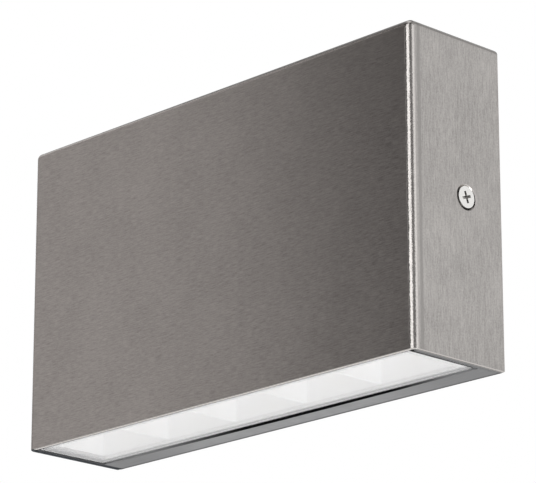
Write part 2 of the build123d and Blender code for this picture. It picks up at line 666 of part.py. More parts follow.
# Brackets with their rivets and screws
for side, name in ((1, "right"), (-1, "left")):
    with BuildPart() as lamp_bracket:
        with BuildSketch(Plane.YZ.offset(side * BRACKET_X)):
            with BuildLine():
                FilletPolyline(
                    (PLATE_FACE, HOUSING_TOP + BRACKET_RISE),
                    (PLATE_FACE, HOUSING_TOP),
                    (BRACKET_END, HOUSING_TOP),
                    radius=BEND,
                )
                offset(amount=SHEET, side=Side.RIGHT)
            make_face()
        extrude(amount=BRACKET_WIDTH / 2, both=True)
        corners = lamp_bracket.edges().filter_by(Axis.Y).group_by(Axis.Z)[-1]
        corners += lamp_bracket.edges().filter_by(Axis.Z).group_by(Axis.Y)[0]
        fillet(corners, BRACKET_ROUND)
        places = [x for x in FIXING_PLACES if x * side > 0]
        with BuildSketch(Plane.XZ.offset(-PLATE_FACE)):
            with Locations(*[(x, RIVET_Z) for x in places]):
                Circle(M3_HOLE_DIA / 2)
        extrude(amount=SHEET, mode=Mode.SUBTRACT)
        with BuildSketch(Plane.XY.offset(HOUSING_TOP)):
            with Locations(*[(x, HOUSING_SCREW_Y) for x in places]):
                Circle(M3_HOLE_DIA / 2)
        extrude(amount=SHEET, mode=Mode.SUBTRACT)
    finish(lamp_bracket, f"lamp_bracket_{name}")

with BuildPart() as bracket_rivets:
    with BuildSketch(Plane.XZ.offset(SHEET - PLATE_FACE)):
        with Locations(*[(x, RIVET_Z) for x in FIXING_PLACES]):
            Circle(M3_HEAD_DIA / 2)
    extrude(amount=M3_HEAD_HEIGHT)
    fillet(bracket_rivets.edges().group_by(Axis.Y)[0], PAN_ROUND)
    with BuildSketch(Plane.XZ.offset(WALL_CLEAR)):
        with Locations(*[(x, RIVET_Z) for x in FIXING_PLACES]):
            Circle(M3_DIA / 2)
    extrude(amount=SHEET - PLATE_FACE - WALL_CLEAR)
finish(bracket_rivets, "bracket_rivets")

housing_screw = pan_screw(
    M3_DIA, SHEET + HOUSING_WALL + POINT_REACH, M3_HEAD_DIA, M3_HEAD_HEIGHT, PAN_ROUND
)
with BuildPart() as housing_screws:
    with Locations(*[(x, HOUSING_SCREW_Y, BRACKET_FOOT) for x in FIXING_PLACES]):
        add(housing_screw)
finish(housing_screws, "housing_screws")

# Driver: case with fixing tabs, lid and screws
with BuildPart() as driver_case:
    with BuildSketch(Plane.XZ.offset(-PLATE_FACE)):
        with Locations((DRIVER_X, DRIVER_Z)):
            RectangleRounded(DRIVER_LENGTH, DRIVER_HEIGHT, DRIVER_ROUND)
    extrude(amount=DRIVER_CASE_DEPTH)
    with BuildSketch(Plane.XZ.offset(-PLATE_FACE)):
        with Locations((DRIVER_X, DRIVER_Z)):
            RectangleRounded(DRIVER_LENGTH + 2 * DRIVER_TAB, DRIVER_TAB_HEIGHT, DRIVER_TAB_ROUND)
    extrude(amount=DRIVER_TAB_THICK)
    with BuildSketch(Plane.XZ.offset(-PLATE_FACE)):
        with Locations(*m3_plate_places[:2]):
            Circle(M3_HOLE_DIA / 2)
    extrude(amount=DRIVER_TAB_THICK, mode=Mode.SUBTRACT)
finish(driver_case, "driver_case")

with BuildPart() as driver_lid:
    with BuildSketch(Plane.XZ.offset(-DRIVER_LID_FACE)):
        with Locations((DRIVER_X, DRIVER_Z)):
            RectangleRounded(DRIVER_LENGTH, DRIVER_HEIGHT, DRIVER_ROUND)
    extrude(amount=DRIVER_LID)
    chamfer(driver_lid.edges().group_by(Axis.Y)[0], DRIVER_EDGE)
finish(driver_lid, "driver_lid")

driver_screw = pan_screw(
    M3_DIA, DRIVER_TAB_THICK + SHEET - WALL_CLEAR, M3_HEAD_DIA, M3_HEAD_HEIGHT, PAN_ROUND
)
driver_screw_face = PLATE_FACE - DRIVER_TAB_THICK
with BuildPart() as driver_screws:
    with Locations(*[Location((x, driver_screw_face, z), FACING_FRONT) for x, z in m3_plate_places[:2]]):
        add(driver_screw)
finish(driver_screws, "driver_screws")

# Terminal block: towers on a base, each round a brass barrel with two clamping screws
clamp_places = [(x, TERMINAL_Z + step * CLAMP_SCREW_OFFSET) for x in POLE_PLACES for step in (-1, 1)]
barrel_r = BARREL_DIA / 2
with BuildPart() as terminal_block:
    with BuildSketch(Plane.XZ.offset(-PLATE_FACE)):
        with Locations((TERMINAL_X, TERMINAL_Z)):
            Rectangle(POLES * POLE_PITCH, TERMINAL_HEIGHT)
        with Locations(*[(x, TERMINAL_Z) for x in GAP_PLACES]):
            Circle(M3_HOLE_DIA / 2, mode=Mode.SUBTRACT)
    extrude(amount=TERMINAL_BASE)
    with BuildSketch(Plane.XZ.offset(TERMINAL_BASE - PLATE_FACE)):
        with Locations(*[(x, TERMINAL_Z) for x in POLE_PLACES]):
            Rectangle(POLE_WIDTH, TERMINAL_HEIGHT)
    extrude(amount=TERMINAL_TOWER)
    fillet(terminal_block.edges().filter_by(Axis.Z).group_by(Axis.Y)[0], TOWER_ROUND)
    with BuildSketch(Plane.XY.offset(TERMINAL_Z)):
        with Locations(*[(x, BARREL_Y) for x in POLE_PLACES]):
            Circle(barrel_r + BARREL_SEAT_GAP)
    extrude(amount=TERMINAL_HEIGHT, both=True, mode=Mode.SUBTRACT)
    with BuildSketch(Plane.XZ.offset(-TOWER_FACE)):
        with Locations(*clamp_places):
            Circle(WELL_R)
    extrude(amount=TOWER_FACE - BARREL_Y, mode=Mode.SUBTRACT)
    with BuildSketch(Plane.XZ.offset(TERMINAL_BASE - PLATE_FACE)):
        with Locations(*[(x, TERMINAL_Z) for x in GAP_PLACES]):
            Circle(M3_HEAD_DIA / 2 + WELL_GAP)
    extrude(amount=TERMINAL_TOWER, mode=Mode.SUBTRACT)
finish(terminal_block, "terminal_block")

with BuildPart() as terminal_barrels:
    with BuildSketch(Plane.XY.offset(TERMINAL_Z)):
        with Locations(*[(x, BARREL_Y) for x in POLE_PLACES]):
            Circle(barrel_r)
            Circle(BARREL_BORE_DIA / 2, mode=Mode.SUBTRACT)
    extrude(amount=BARREL_LENGTH / 2, both=True)
    with BuildSketch(Plane.XZ.offset(-BARREL_Y)):
        with Locations(*clamp_places):
            Circle(CLAMP_SCREW_DIA / 2 + THREAD_GAP)
    extrude(amount=BARREL_DIA, mode=Mode.SUBTRACT)
finish(terminal_barrels, "terminal_barrels")

clamp_seat = BARREL_Y - barrel_r - WELL_GAP
clamp_screw = pan_screw(
    CLAMP_SCREW_DIA, barrel_r - MAINS_WIRE_DIA / 2, CLAMP_SCREW_HEAD_DIA, CLAMP_SCREW_HEAD, WELL_GAP
)
with BuildPart() as terminal_screws:
    with Locations(*[Location((x, clamp_seat, z), FACING_FRONT) for x, z in clamp_places]):
        add(clamp_screw)
finish(terminal_screws, "terminal_screws")

terminal_fixing = pan_screw(
    M3_DIA, TERMINAL_BASE + SHEET - WALL_CLEAR, M3_HEAD_DIA, M3_HEAD_HEIGHT, PAN_ROUND
)
terminal_base_face = PLATE_FACE - TERMINAL_BASE
with BuildPart() as terminal_fixings:
    with Locations(*[Location((x, terminal_base_face, TERMINAL_Z), FACING_FRONT) for x in GAP_PLACES]):
        add(terminal_fixing)
finish(terminal_fixings, "terminal_fixings")

# Earth point: ring lug with a crimp barrel, under its screw
with BuildPart() as earth_lug:
    with BuildSketch(Plane.XZ.offset(-PLATE_FACE)):
        with Locations((EARTH_X, EARTH_Z)):
            Circle(LUG_DIA / 2)
            Rectangle(
                LUG_BARREL_DIA, LUG_BARREL_TOP - EARTH_Z, align=(Align.CENTER, Align.MIN)
            )
            Circle(M4_HOLE_DIA / 2, mode=Mode.SUBTRACT)
    extrude(amount=LUG_THICK)
    with BuildSketch(Plane.XY.offset(LUG_BARREL_TOP)):
        with Locations((EARTH_X, LUG_BARREL_Y)):
            Circle(LUG_BARREL_DIA / 2)
    extrude(amount=-LUG_BARREL_LENGTH)
finish(earth_lug, "earth_lug")

earth_fixing = pan_screw(M4_DIA, LUG_THICK + SHEET - WALL_CLEAR, M4_HEAD_DIA, M4_HEAD_HEIGHT, PAN_ROUND)
with BuildPart() as earth_screw:
    with Locations(Location((EARTH_X, LUG_FACE, EARTH_Z), FACING_FRONT)):
        add(earth_fixing)
finish(earth_screw, "earth_screw")

# Lamp wire bush in the housing's top
bush_plane = Plane(origin=(LAMP_WIRE_X, LAMP_BUSH_Y, 0), x_dir=(1, 0, 0), z_dir=(0, -1, 0))
bush_axis = Axis((LAMP_WIRE_X, LAMP_BUSH_Y, 0), (0, 0, 1))
bush_outline = [
    (LAMP_BUSH_BORE_DIA / 2, HOUSING_TOP + LAMP_BUSH_LIP_THICK),
    (LAMP_BUSH_LIP_R, HOUSING_TOP + LAMP_BUSH_LIP_THICK),
    (LAMP_BUSH_LIP_R, HOUSING_TOP),
    (LAMP_BUSH_HOLE_R, HOUSING_TOP),
    (LAMP_BUSH_HOLE_R, WEB_BOTTOM),
    (LAMP_BUSH_LIP_R, WEB_BOTTOM),
    (LAMP_BUSH_LIP_R, WEB_BOTTOM - LAMP_BUSH_LIP_THICK),
    (LAMP_BUSH_BORE_DIA / 2, WEB_BOTTOM - LAMP_BUSH_LIP_THICK),
]
bush = turned(bush_outline, bush_plane, bush_axis)
with BuildPart() as housing_grommet:
    add(bush)
finish(housing_grommet, "housing_grommet")

# Internal wires from the terminals to driver and earth, and from the driver to the lamp board
wire_top = BARREL_END + WIRE_ENTRY
for name, x, rise in (
    ("wire_live", POLE_PLACES[0], LIVE_RISE),
    ("wire_neutral", POLE_PLACES[1], NEUTRAL_RISE),
):
    run_z = DRIVER_BOTTOM + rise
    mains_route = [(x, BARREL_Y, wire_top), (x, BARREL_Y, run_z), (DRIVER_RIGHT, BARREL_Y, run_z)]
    finish(wire(mains_route, MAINS_WIRE_DIA / 2, MAINS_BEND), name)

earth_turn = BARREL_Y - LUG_BARREL_Y
earth_route = [
    (EARTH_X, BARREL_Y, wire_top),
    (EARTH_X, BARREL_Y, LUG_BARREL_TOP + EARTH_BEND - earth_turn),
    (EARTH_X, LUG_BARREL_Y, LUG_BARREL_TOP + EARTH_BEND),
    (EARTH_X, LUG_BARREL_Y, LUG_BARREL_TOP),
]
finish(wire(earth_route, MAINS_WIRE_DIA / 2, EARTH_BEND), "wire_earth")

for name, step in (("wire_led_positive", -1), ("wire_led_negative", 1)):
    x = LAMP_WIRE_X + step * LAMP_WIRE_SPLIT / 2
    lamp_route = [
        (x, LAMP_BUSH_Y, DRIVER_BOTTOM),
        (x, LAMP_BUSH_Y, LAMP_WIRE_Z),
        (x, LAMP_BUSH_Y - LAMP_WIRE_RUN, LAMP_WIRE_Z),
    ]
    finish(wire(lamp_route, LAMP_WIRE_DIA / 2, LAMP_WIRE_BEND), name)
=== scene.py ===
"""Looks of the wall light: brushed steel cover, lamp unit behind clear glass, studio and camera."""

import json
from math import cos, pi, radians, sin

import bpy
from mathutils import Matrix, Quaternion, Vector


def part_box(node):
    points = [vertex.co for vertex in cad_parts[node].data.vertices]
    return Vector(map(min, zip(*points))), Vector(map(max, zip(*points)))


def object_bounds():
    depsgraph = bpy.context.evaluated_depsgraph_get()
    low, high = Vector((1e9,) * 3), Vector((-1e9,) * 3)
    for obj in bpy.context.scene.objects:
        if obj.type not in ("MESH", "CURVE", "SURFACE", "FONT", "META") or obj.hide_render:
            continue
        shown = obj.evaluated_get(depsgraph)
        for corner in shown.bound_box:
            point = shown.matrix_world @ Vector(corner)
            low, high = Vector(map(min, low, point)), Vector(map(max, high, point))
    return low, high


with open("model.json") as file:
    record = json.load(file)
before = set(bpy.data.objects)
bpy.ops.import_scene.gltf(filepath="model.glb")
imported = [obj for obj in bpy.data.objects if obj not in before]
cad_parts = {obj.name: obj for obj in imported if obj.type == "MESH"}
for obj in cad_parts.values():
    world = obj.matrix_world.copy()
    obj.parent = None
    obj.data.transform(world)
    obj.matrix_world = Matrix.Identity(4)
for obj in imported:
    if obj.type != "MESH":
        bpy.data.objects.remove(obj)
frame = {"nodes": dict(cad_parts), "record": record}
CAD_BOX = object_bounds()
MM = 0.001

# Limits of the light in the frame
LEFT, FRONT, UNDERSIDE = CAD_BOX[0]
RIGHT, WALL, _ = CAD_BOX[1]

# Camera, found from the straight edges in the photograph
CAMERA_PLACE = Vector((0.8649, -0.8538, -0.3740))
CAMERA_YAW = radians(-45.986)
CAMERA_PITCH = radians(17.618)
FOCAL_PIXELS = 3124.7
IMAGE_WIDTH = 536
SENSOR_WIDTH = 36.0

# Floor, which glows for the camera, in metal and in glass
WHITE = (1.0, 1.0, 1.0, 1.0)
FLOOR_DROP = 1.8
FLOOR_RADIUS = 14.0
FLOOR_SIDES = 64
FLOOR_LIFT = 0.74
FLOOR_ROUGHNESS = 0.7
FLOOR_COLOURS = ((0.83, 0.83, 0.82, 1.0), (0.88, 0.88, 0.87, 1.0))

# Room and white backdrop: how far a direction has to turn to it, and how much is left of it high up
ROOM_COLOUR = (0.043, 0.038, 0.0365, 1.0)
WHITE_AZIMUTH = 150.0
WHITE_EDGE = (0.25, 0.45)
WHITE_TOP = (0.42, 0.62)
WHITE_ABOVE = 0.55

# Watts that a square metre of lamp needs for a radiance of 1
LAMP_POWER = 4

# Lamps. Azimuth 0 is straight in front of the light and 90 to its right, in degrees.
WARM = (1.05, 1.0, 0.985)
LAMPS = {
    "key": dict(azimuth=20, elevation=14, distance=1.5, width=1.0, height=1.5, radiance=1.8),
    "left_panel": dict(
        azimuth=-65, elevation=12, distance=0.5, width=0.5, height=0.8, radiance=0.418,
        roll=8, tint=WARM,
    ),
    "left_rear": dict(azimuth=-112, elevation=48, distance=1.2, width=1.2, height=0.8, radiance=0.26),
    "fill": dict(azimuth=55, elevation=10, distance=1.6, width=0.7, height=1.2, radiance=0.26),
    "right_strip": dict(azimuth=88, elevation=10, distance=1.5, width=0.9, height=1.5, radiance=0.5),
    "overhead": dict(azimuth=0, elevation=80, distance=1.6, width=1.6, height=1.2, radiance=0.85),
    "below_right": dict(azimuth=82, elevation=-50, distance=1.2, width=0.6, height=0.6, radiance=2.2),
}

# Noise: its roughness, and the values between which most of a texture, brush lines or rolling lines lie
NOISE_ROUGHNESS = 0.6
NOISE_SPAN = (0.3, 0.7)
BRUSH_SPAN = (0.25, 0.75)
ROLL_SPAN = (0.2, 0.8)

# Grains per metre of skins that have no size of their own
PLATED_GRAIN = 900.0
SEAL_GRAIN = 1500.0
CAST_GRAIN = 700.0
WIRE_GRAIN = 500.0
FLOOR_GRAIN = 250.0
FILM_GRAIN = 60.0
DRIFT_GRAIN = 40.0

# Strengths of the relief on sheet and castings, and on plated and moulded pieces
FIRM_RELIEF = 0.5
FAINT_RELIEF = 0.4

# Faces told apart by parts of their normals: where a finish starts, and where it is full
BEND_NORMAL = (0.999, 0.96)
SIDE_NORMAL = (0.04, 0.12)
DOWN_NORMAL = (-0.3, -0.6)
CUT_NORMAL = (-0.95, -0.99)
BURR_NORMAL = (-0.98, -0.9)
STRIP_NORMAL = (-0.7, -0.9)
GLASS_NORMAL = (0.2, 0.5)
STRIPE_NORMAL = (0.1, 0.2)

# Brushed finish of the cover
BRUSH_LENGTH = 4 * MM
BRUSH_WIDTH = 0.34 * MM
FINE_LENGTH = 18 * MM
FINE_WIDTH = 0.14 * MM
FINE_SHARE = 0.35
MOTTLE_SIZE = 0.7 * MM
CLOUD_SIZE = 26 * MM
BRUSH_DEPTH = 0.012 * MM
BRUSH_ROUGHNESS = (0.30, 0.40)
BRUSH_ANISOTROPY = 0.72
BEND_ROUGHNESS = 0.15
NICK_SIZE = 0.8 * MM
NICK_DEPTH = 0.15 * MM

# Grain on the front and top, and on the sides
MOTTLE_SHARES = (0.15, 0.3)
CLOUD_SHARES = (0.1, 0.15)
BRUSH_CONTRASTS = (0.27, 0.34)

# Painted shadow round the heads of the side screws, from none to full
DIMPLE_SHADOW = (5.3 * MM, 4.8 * MM)
DIMPLE_SHADE = -0.8

# Painted highlight and painted shade on the sides, beside the front bends: a light line and a dark line
LIT_LINE = (FRONT + 1.5 * MM, FRONT + 2.8 * MM)
DARK_LINE = (FRONT + 3.7 * MM, FRONT + 5.4 * MM)
LINE_BLUR = 0.8 * MM
LINE_SHARE = 0.7
LIT_LINE_SHADE = 0.16
DARK_LINE_SHADE = -0.28

# Where the side sheets start, and painted light on cut edges below and on their burrs: front and right
# sheet
RIGHT_SHEET = (RIGHT - 3.1 * MM, RIGHT - 2.1 * MM)
LEFT_SHEET = (LEFT + 4.1 * MM, LEFT + 3.1 * MM)
CUT_PAINTED_LIGHT = (0.9, -0.25)
BURR_PAINTED_LIGHT = (-0.1, 0.4)
# Dark painted shadow on the edges below on the left, which are matt there
LEFT_SHADOW_COLOUR = (0.068, 0.076, 0.086, 1.0)
MATT = 1.0

# Wear of metal pieces: bright edges where two normals part, and painted shade where little sky is open
EDGE_WEAR = 0.5 * MM
SMALL_EDGE_WEAR = EDGE_WEAR / 2
EDGE_LEVEL = (0.995, 0.9)
RECESS_DEPTH = 1.5 * MM
CAST_RECESS_DEPTH = 2 * RECESS_DEPTH
RECESS_LEVEL = (0.75, 0.3)

# Rolled sheet of the back plate
ROLL_LENGTH = 25 * MM
ROLL_WIDTH = 0.5 * MM
ROLL_DEPTH = 0.01 * MM
ROLL_CONTRAST = 0.18
ROLL_SPREAD = 0.06
SPANGLE_SIZE = 6 * MM
SPANGLE_SHARE = 0.25
SHEET_WORN = 0.6
SHEET_SPECULAR = 0.2

# Strip of the back plate beside the wall. Its painted end shade and black shadow are places from the
# middle.
STRIP_TOP = (UNDERSIDE + 1.7 * MM, UNDERSIDE + 1.6 * MM)
# Painted highlight on the strip's front edge, and a painted black shadow over most of it
STRIP_EDGE_HIGHLIGHT = 0.8
STRIP_SHADOW_LEFT = (-100 * MM, -15 * MM)
STRIP_SHADOW_RIGHT = (104 * MM, 60 * MM)
# Painted shade on the strip's ends, its rear border and its cheek
STRIP_ENDS = (40 * MM, 95 * MM)
STRIP_END_PAINTED_SHADE = -0.3
STRIP_BORDER = (WALL - 2.4 * MM, WALL - 1.0 * MM)
STRIP_BORDER_PAINTED_SHADE = -0.8
CHEEK = (RIGHT - 3.9 * MM, RIGHT - 3.3 * MM)
CHEEK_PAINTED_SHADE = -0.4
GAP_SHADOW = (0.006, 0.006, 0.007, 1.0)

# Plated and cast pieces: darker and lighter skin, worn edges, painted shade in corners, spread of
# roughness, relief
PLATED_SHADES = (-0.15, 0.1)
PLATED_WORN = 0.15
PLATED_SPREAD = (0.05, 0.08)
PLATED_DEPTH = 0.01 * MM
CAST_SHADES = (-0.1, 0.08)
CAST_WORN = 0.25
CAST_CORNER_SHADE = -0.4
CAST_SPREAD = (0.07, 0.07)
CAST_DEPTH = 0.03 * MM
CAST_METALLIC = 0.9

# Moulded pieces and wires
MOULDED_SHADES = (-0.05, 0.04)
MOULDED_SPREAD = (0.05, 0.05)
MOULDED_DEPTH = 0.02 * MM
MOULDED_SPECULAR = 0.45
WIRE_SHADES = (-0.12, 0.12)
WIRE_ROUGHNESS = (0.36, 0.5)
WIRE_SPECULAR = 0.5

# Seal round the window: distance over which its painted shade fades, how fast it does at each end, and its
# waver
SEAL_SHADE_FADE = (1.0 * MM, 3.6 * MM)
SEAL_END_SCALES = (0.5, 1.4)
SEAL_WAVER = (-0.2 * MM, 0.2 * MM)

# Glass and lenses: film of dust, painted shade on the pane's ends, and ground edges
FILM_SPAN = (0.45, 0.8)
FILM_SHADES = (-0.02, 0.01)
FILM_ROUGHNESS = (0.0, 0.04)
GLASS_END_SHADE = (0.03, 0.033, 0.036, 1.0)
GROUND_TRANSMISSION = 0.65
GROUND_ROUGHNESS = 0.6


def shade(colour, share):
    """A colour made lighter or darker by a share of itself."""
    return (*[channel * (1 + share) for channel in colour[:3]], 1.0)


class Graph:
    """Adds nodes to one tree. An input that is a socket is linked, and a plain value is set."""

    # The two inputs and the output of the Mix node for each kind of data
    MIX_SOCKETS = {"FLOAT": (2, 3, 0), "VECTOR": (4, 5, 1), "RGBA": (6, 7, 2)}

    def __init__(self, tree):
        self.tree = tree
        tree.nodes.clear()

    def feed(self, socket, value):
        if isinstance(value, bpy.types.NodeSocket):
            self.tree.links.new(value, socket)
        else:
            socket.default_value = value

    def add(self, kind, inputs, **settings):
        made = self.tree.nodes.new(kind)
        for name, value in settings.items():
            setattr(made, name, value)
        for key, value in inputs.items():
            self.feed(made.inputs[key], value)
        return made

    def math(self, operation, first, second=0.0):
        return self.add("ShaderNodeMath", {0: first, 1: second}, operation=operation).outputs[0]

    def both(self, first, second):
        """Where two masks hold at once."""
        return self.math("MULTIPLY", first, second)

    def vector(self, operation, first, second=(0, 0, 0)):
        return self.add("ShaderNodeVectorMath", {0: first, 1: second}, operation=operation).outputs[0]

    def measure(self, operation, first, second=(0, 0, 0)):
        """A number that comes from vectors, such as a length or a dot product."""
        made = self.add("ShaderNodeVectorMath", {0: first, 1: second}, operation=operation)
        return made.outputs["Value"]

    def parts(self, vector):
        return self.add("ShaderNodeSeparateXYZ", {0: vector}).outputs

    def fade(self, value, start, end, low=0.0, high=1.0):
        ends = {"From Min": start, "From Max": end, "To Min": low, "To Max": high}
        made = self.add("ShaderNodeMapRange", {"Value": value, **ends}, interpolation_type="SMOOTHSTEP")
        return made.outputs["Result"]

    def band(self, value, start, end, blur):
        """1 between two limits and 0 outside them, with soft edges."""
        above = self.fade(value, start - blur / 2, start + blur / 2)
        below = self.fade(value, end + blur / 2, end - blur / 2)
        return self.both(above, below)

    def mix(self, kind, factor, first, second):
        one, two, result = self.MIX_SOCKETS[kind]
        made = self.add("ShaderNodeMix", {0: factor, one: first, two: second}, data_type=kind)
        return made.outputs[result]

    def colours(self, factor, first, second):
        return self.mix("RGBA", factor, first, second)

    def numbers(self, factor, first, second):
        return self.mix("FLOAT", factor, first, second)

    def vectors(self, factor, first, second):
        return self.mix("VECTOR", factor, first, second)

    def shades(self, factor, colour, low, high):
        """From one shade of a colour to another."""
        return self.colours(factor, shade(colour, low), shade(colour, high))

    def noise(self, vector, scale, detail=2.0):
        inputs = {"Vector": vector, "Scale": scale, "Detail": detail, "Roughness": NOISE_ROUGHNESS}
        return self.add("ShaderNodeTexNoise", inputs).outputs["Fac"]

    def streaks(self, place, axis, length, width):
        """Noise drawn out along one axis."""
        stretch = [1 / width] * 3
        stretch["XYZ".index(axis)] = 1 / length
        return self.noise(self.vector("MULTIPLY", place, stretch), 1.0, detail=3.0)

    def bump(self, height, depth, strength):
        inputs = {"Height": height, "Distance": depth, "Strength": strength}
        return self.add("ShaderNodeBump", inputs).outputs[0]


class Surface:
    """A material with one Principled shader, whose nodes are added by the caller."""

    def __init__(self, name, **fixed):
        self.material = bpy.data.materials.new(name)
        self.material.use_nodes = True
        self.graph = Graph(self.material.node_tree)
        self.shader = self.graph.add("ShaderNodeBsdfPrincipled", {})
        self.output = self.graph.add("ShaderNodeOutputMaterial", {"Surface": self.shader.outputs[0]})
        where = self.graph.add("ShaderNodeTexCoord", {})
        self.place = where.outputs["Object"]
        self.normal = where.outputs["Normal"]
        self.set(**fixed)

    def set(self, **sockets):
        for key, value in sockets.items():
            self.graph.feed(self.shader.inputs[key.replace("_", " ")], value)

    def finish(self, texture, roughness, spread, depth, strength):
        """Roughness and relief that follow one texture."""
        below, above = spread
        uneven = self.graph.fade(texture, *NOISE_SPAN, roughness - below, roughness + above)
        self.set(Roughness=uneven, Normal=self.graph.bump(texture, depth, strength))

    def worn_edges(self, radius):
        """Nearly 1 along the edges of the piece and 0 on its flat faces."""
        rounded = self.graph.add("ShaderNodeBevel", {"Radius": radius}, samples=6).outputs[0]
        true = self.graph.add("ShaderNodeNewGeometry", {}).outputs["Normal"]
        return self.graph.fade(self.graph.measure("DOT_PRODUCT", rounded, true), *EDGE_LEVEL)

    def recesses(self, depth):
        """Nearly 1 deep in slots and corners of the piece, where shade is painted, and 0 on open faces."""
        inputs = {"Distance": depth}
        open_sky = self.graph.add("ShaderNodeAmbientOcclusion", inputs, samples=8, only_local=True)
        return self.graph.fade(open_sky.outputs["AO"], *RECESS_LEVEL)


def brush_lines(graph, place, axis):
    """Short and long brush lines that run along one axis."""
    short = graph.streaks(place, axis, BRUSH_LENGTH, BRUSH_WIDTH)
    long = graph.streaks(place, axis, FINE_LENGTH, FINE_WIDTH)
    return graph.numbers(FINE_SHARE, short, long)


def brushed_skin(graph, place, lines, side, colour):
    """Brush lines with a fine mottle and wide clouds, in one grain for the sides and one elsewhere."""
    mottle = graph.noise(place, 1 / MOTTLE_SIZE)
    clouds = graph.noise(place, 1 / CLOUD_SIZE)
    grain = graph.numbers(graph.numbers(side, *MOTTLE_SHARES), lines, mottle)
    cloudy = graph.numbers(graph.numbers(side, *CLOUD_SHARES), grain, clouds)
    tone = graph.fade(cloudy, *NOISE_SPAN)
    front, sides = (graph.shades(tone, colour, -contrast, contrast) for contrast in BRUSH_CONTRASTS)
    return graph.colours(side, front, sides)


def bend_light_lines(graph, place, side, skin, colour):
    """The skin with a painted highlight line and a painted shade line beside the front bends."""
    ahead = graph.parts(place)[1]
    for line, share in ((LIT_LINE, LIT_LINE_SHADE), (DARK_LINE, DARK_LINE_SHADE)):
        lined = graph.both(side, graph.band(ahead, *line, LINE_BLUR))
        skin = graph.colours(graph.both(lined, LINE_SHARE), skin, shade(colour, share))
    return skin


def dimple_shadow(graph, place):
    """The ring of each screw dimple beside the head, where a shadow is painted."""
    low, high = (Vector(corner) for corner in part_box("side_screw_right"))
    offset = graph.vector("MULTIPLY", graph.vector("SUBTRACT", place, (low + high) / 2), (0, 1, 1))
    return graph.fade(graph.measure("LENGTH", offset), *DIMPLE_SHADOW)


def sheet_painted_light(graph, place, colour, shades):
    """One painted light level for the front sheet of the cover and one for its right sheet."""
    sideways = graph.parts(place)[0]
    return graph.shades(graph.fade(sideways, *RIGHT_SHEET), colour, *shades)


def cut_edges(graph, place, normal, skin, colour):
    """The skin with painted light on the cut sheet edges below and on the burrs beside them."""
    down = graph.parts(normal)[2]
    cut = graph.fade(down, *CUT_NORMAL)
    burr = graph.both(graph.fade(down, *DOWN_NORMAL), graph.fade(down, *BURR_NORMAL))
    for mask, shades in ((cut, CUT_PAINTED_LIGHT), (burr, BURR_PAINTED_LIGHT)):
        skin = graph.colours(mask, skin, sheet_painted_light(graph, place, colour, shades))
    return skin


def left_edge_shadow(graph, place, normal):
    """The edges below on the left, where a dark shadow is painted."""
    left = graph.fade(graph.parts(place)[0], *LEFT_SHEET)
    return graph.both(left, graph.fade(graph.parts(normal)[2], *DOWN_NORMAL))


def cover_steel(name, colour):
    """Front and top brushed along X, sides along Z, with polished bends and painted light and shade on
    edges below.
    """
    made = Surface(name, Anisotropic=BRUSH_ANISOTROPY)
    graph, place, normal = made.graph, made.place, made.normal
    sizes = graph.parts(graph.vector("ABSOLUTE", normal))
    flatness = graph.math("MAXIMUM", sizes[0], graph.math("MAXIMUM", sizes[1], sizes[2]))
    bend = graph.fade(flatness, *BEND_NORMAL)
    side = graph.fade(sizes[0], *SIDE_NORMAL)
    lines = graph.numbers(side, brush_lines(graph, place, "X"), brush_lines(graph, place, "Z"))
    brushed = brushed_skin(graph, place, lines, side, colour)
    # Painted highlight and painted shade lines beside the front bends
    bend_lit = bend_light_lines(graph, place, side, brushed, colour)
    # Painted shadow round the screw heads
    ring_shadowed = graph.colours(dimple_shadow(graph, place), bend_lit, shade(colour, DIMPLE_SHADE))
    # Painted reflection on the front cut edge, painted shade on the right one and a painted highlight on
    # its burr
    edged = cut_edges(graph, place, normal, ring_shadowed, colour)
    # Dark painted shadow on the edges below on the left
    left_shadow = left_edge_shadow(graph, place, normal)
    made.set(Base_Color=graph.colours(left_shadow, edged, LEFT_SHADOW_COLOUR), Metallic=graph.math("SUBTRACT", 1.0, left_shadow))
    satin = graph.fade(lines, *BRUSH_SPAN, *BRUSH_ROUGHNESS)
    polished = graph.numbers(bend, satin, BEND_ROUGHNESS)
    made.set(Roughness=graph.numbers(left_shadow, polished, MATT))
    along = graph.vectors(side, (1, 0, 0), (0, 0, 1))
    across = graph.vector("NORMALIZE", graph.vector("CROSS_PRODUCT", normal, along))
    relief = graph.numbers(bend, lines, graph.noise(place, 1 / NICK_SIZE))
    depth = graph.numbers(bend, BRUSH_DEPTH, NICK_DEPTH)
    made.set(Tangent=across, Normal=graph.bump(relief, depth, FIRM_RELIEF))
    return made.material


def wall_strip(graph, place, normal, skin, colour):
    """The skin with painted highlight and shade on the strip beside the wall, and a mask of its painted
    black shadow.
    """
    sideways, ahead, height = graph.parts(place)
    from_middle = graph.math("ABSOLUTE", sideways)
    facing_front, facing_down = (graph.fade(part, *STRIP_NORMAL) for part in graph.parts(normal)[1:3])
    edge = graph.both(graph.fade(height, *STRIP_TOP), facing_front)
    layers = (
        (graph.both(facing_down, graph.fade(from_middle, *STRIP_ENDS)), STRIP_END_PAINTED_SHADE),
        (graph.both(facing_down, graph.fade(from_middle, *CHEEK)), CHEEK_PAINTED_SHADE),
        (edge, STRIP_EDGE_HIGHLIGHT),
        (graph.both(facing_down, graph.fade(ahead, *STRIP_BORDER)), STRIP_BORDER_PAINTED_SHADE),
    )
    for mask, share in layers:
        skin = graph.colours(mask, skin, shade(colour, share))
    left, right = (graph.fade(sideways, *limits) for limits in (STRIP_SHADOW_LEFT, STRIP_SHADOW_RIGHT))
    return skin, graph.both(edge, graph.math("MINIMUM", left, right))


